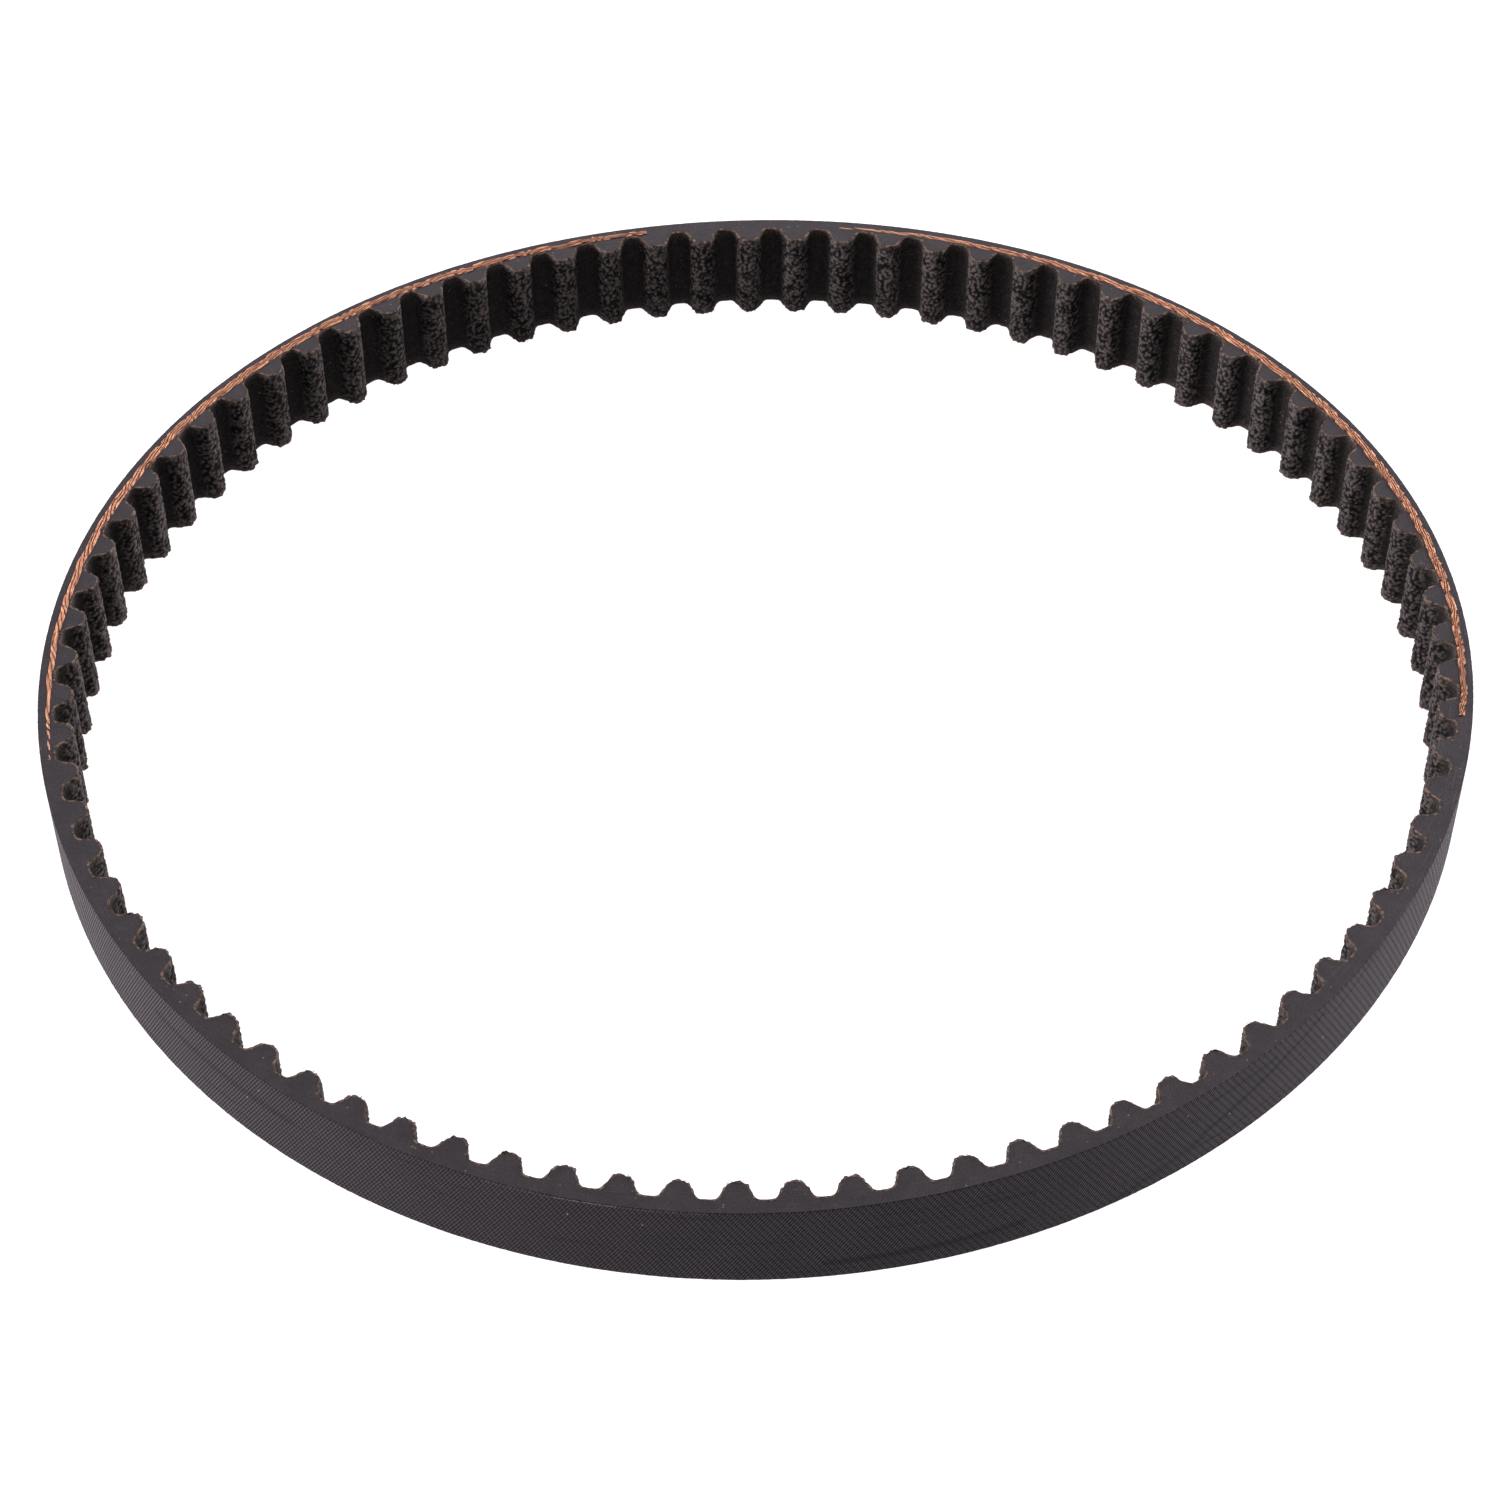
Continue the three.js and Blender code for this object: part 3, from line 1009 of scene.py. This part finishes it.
@dataclass(frozen=True)
class Fray:
    """Short loose thread ends along the fabric's cut edges and over the tooth tips."""

    per_tooth: int = 26
    thickness: float = 0.022
    sides: int = 3
    joints: int = 4
    length: tuple[float, float] = (0.12, 0.42)
    rim_share: float = 0.7
    root: float = 0.06
    reach: float = 0.4
    margin: float = 0.6
    taper: float = 0.75
    rise: float = 0.75
    first_seed: int = 40

    def shells(self, sector: Sector, seed: int) -> list[Shell]:
        """The thread ends of one sector, each a bent three-sided spike.

        A spike starts just under the fabric, leaves along a random direction that leans out of the tooth and
        away from the belt's middle, and curls as the square of its length.
        """
        rng = np.random.default_rng(seed)
        count = int(self.per_tooth * (sector.end - sector.start) / BELT.pitch)
        along = rng.uniform(sector.start + self.margin, sector.end - self.margin, count)
        on_tooth = np.abs(BELT.from_tooth(along)) < BELT.half_tooth + 0.35
        along = along[on_tooth]
        count = len(along)
        rim = rng.random(count) < self.rim_share
        high = rng.random(count) < 0.5
        inside = rng.uniform(0.3, BELT.width - 0.3, count)
        height = np.where(rim, np.where(high, BELT.width - 0.03, 0.05), inside)
        depth = BELT.land + BELT.tooth_rise(along) - self.root
        length = rng.uniform(*self.length, count) * np.where(rim, 1.0, 0.6)
        lean = np.where(rim, np.where(high, 1.0, -0.6), 0.0) * rng.uniform(0.1, 0.8, count)
        sideways = rng.normal(0, 0.7, count)
        curl = rng.normal(0, 0.8, count)
        share = np.linspace(0, 1, self.joints)[None, :]
        out = share * length[:, None]
        path_along = along[:, None] + out * sideways[:, None] + curl[:, None] * out**2
        path_depth = depth[:, None] + out * self.rise
        path_height = np.clip(height[:, None] + out * lean[:, None], 0.0, BELT.width + self.reach)
        angle = (np.arange(self.sides) / self.sides * TURN)[None, None, :]
        thin = self.thickness * (1 - self.taper * share)[..., None]
        rings = BELT.place(
            path_along[..., None] + thin * np.cos(angle),
            path_depth[..., None],
            path_height[..., None] + thin * np.sin(angle),
        )
        shades = rng.random(count)
        uv = np.zeros((self.joints, self.sides + 1, 2))
        bands = np.zeros(self.sides, int)
        full = np.ones((self.joints, self.sides))
        return [Shell(ring, uv, full * shade, bands) for ring, shade in zip(rings, shades, strict=True)]


# ---------------------------------------------------------------------------------------------------------
# Assembly
# ---------------------------------------------------------------------------------------------------------


@dataclass
class BeltAssembly:
    """Builds every piece of the belt, sector by sector, and hides the model's solids that each stands for."""

    nodes: dict[str, bpy.types.Object]

    def __post_init__(self) -> None:
        """Makes the finishes and the layers."""
        imprint = WeaveImprint()
        self.body = RubberBody(imprint)
        self.facing = ToothFacing()
        self.cords = (WoundCord(Twist.S, entry=0.96), WoundCord(Twist.Z, entry=1.26))
        self.fray = Fray()
        self.rubber_finishes = [BackRubber(imprint).build(), CutRubber().build()]
        self.facing_finish = PittedFacing().build()
        self.cord_finish = TwistedCord().build()
        self.lint_finish = Lint().build()

    def stand_for(self, sector: Sector, starts: tuple[str, ...]) -> None:
        """Hides the model's solids that a piece stands for: the sector's own, by their first words."""
        names = [n for n in self.nodes for s in starts for arc in sector.arcs if self.belongs(n, s, arc)]
        if names:
            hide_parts(*names)

    @staticmethod
    def belongs(node: str, start: str, arc: str) -> bool:
        """Whether a solid is the named layer of an arc, or one numbered stretch of it."""
        rest = node.removeprefix(f"{start}_{arc}")
        return node.startswith(f"{start}_{arc}") and (rest == "" or rest[1:].isdigit())

    def build(self) -> None:
        """Builds all the sectors."""
        for index, sector in enumerate(SECTORS):
            body = self.body.shell(sector)
            rubber = solid_object(f"rubber_{sector.name}", [body], self.rubber_finishes, self.body.crease)
            self.tie(rubber, sector, ("backing", "tooth_rubber"))
            facing = solid_object(f"facing_{sector.name}", [self.facing.shell(sector)], [self.facing_finish])
            self.tie(facing, sector, ("tooth_facing",))
            for cord in self.cords:
                made = solid_object(f"{cord.name}_{sector.name}", cord.shells(sector), [self.cord_finish])
                self.tie(made, sector, (cord.name,))
            threads = self.fray.shells(sector, self.fray.first_seed + index)
            fray = solid_object(f"fray_{sector.name}", threads, [self.lint_finish])
            self.tie(fray, sector, ())

    def tie(self, piece: bpy.types.Object, sector: Sector, starts: tuple[str, ...]) -> None:
        """Bakes a piece's transform, hides the model's solids that it stands for, and logs it."""
        sector.blend(piece)
        self.stand_for(sector, starts)
        LOG.info("%s: %d faces", piece.name, len(piece.data.polygons))


@dataclass(frozen=True)
class Studio:
    """Floor, lights and camera. Lengths in metres, apart from the lens and its sensor in millimetres."""

    floor_size: float = 6.0
    floor_drop: float = 0.00005
    surround: float = 0.06
    pitch_down: float = 48.735
    roll: float = -0.297
    lens: float = 89.83
    sensor: float = 36.0
    nearest: float = 0.01
    eye: tuple[float, float, float] = (-0.00064, -0.23957, 0.26993)
    tint: tuple[float, float, float] = (1.0, 0.92, 0.98)

    def floor(self) -> None:
        """A wide pale floor under the belt."""
        half = self.floor_size / 2
        mesh = bpy.data.meshes.new("floor")
        corners = [(-half, -half, 0), (half, -half, 0), (half, half, 0), (-half, half, 0)]
        mesh.from_pydata(corners, [], [(0, 1, 2, 3)])
        mesh.materials.append(PaleFloor().build())
        made = bpy.data.objects.new("floor", mesh)
        made.location.z = -self.floor_drop
        bpy.context.scene.collection.objects.link(made)

    def light(
        self, name: str, place: tuple[float, float, float], size: tuple[float, float], watts: float
    ) -> None:
        """A rectangular soft light at a place, turned to the belt.

        Args:
            name: The light's name.
            place: Its position.
            size: Its width and height.
            watts: Its power.
        """
        lamp = bpy.data.lights.new(name, "AREA")
        lamp.shape = "RECTANGLE"
        lamp.size, lamp.size_y = size
        lamp.energy = watts
        lamp.color = self.tint
        made = bpy.data.objects.new(name, lamp)
        made.location = place
        direction = -made.location
        made.rotation_euler = direction.to_track_quat("-Z", "Y").to_euler()
        bpy.context.scene.collection.objects.link(made)

    def world(self) -> None:
        """An even pale surround."""
        surround = bpy.data.worlds.new("surround")
        surround.use_nodes = True
        background = surround.node_tree.nodes["Background"]
        background.inputs[0].default_value = (1.0, 1.0, 1.0, 1.0)
        background.inputs[1].default_value = self.surround
        bpy.context.scene.world = surround

    def camera(self) -> None:
        """The camera: it looks along +Y and down, with a slight roll."""
        lens = bpy.data.cameras.new("camera")
        lens.lens = self.lens
        lens.sensor_width = self.sensor
        lens.clip_start = self.nearest
        made = bpy.data.objects.new("camera", lens)
        made.location = self.eye
        made.rotation_euler = (math.radians(90 - self.pitch_down), 0.0, 0.0)
        made.rotation_euler.rotate_axis("Z", math.radians(self.roll))
        bpy.context.scene.collection.objects.link(made)
        bpy.context.scene.camera = made

    def build(self) -> None:
        """Sets the studio up."""
        self.camera()
        self.floor()
        self.world()
        self.light("left", (-0.87, -0.12, 0.17), (0.7, 0.28), 20.5)
        self.light("right", (0.82, 0.36, 0.2), (0.6, 0.34), 21.0)
        self.light("behind", (-0.1, 0.8, 0.6), (1.1, 0.5), 9.0)
        bpy.context.scene.view_settings.view_transform = "Standard"
        LOG.info("studio ready")


def main() -> None:
    """Loads the model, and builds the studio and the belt."""
    logging.basicConfig(level=logging.INFO, format="%(name)s %(message)s")
    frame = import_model()
    Studio().build()
    BeltAssembly(frame["nodes"]).build()


if __name__ == "__main__":
    main()
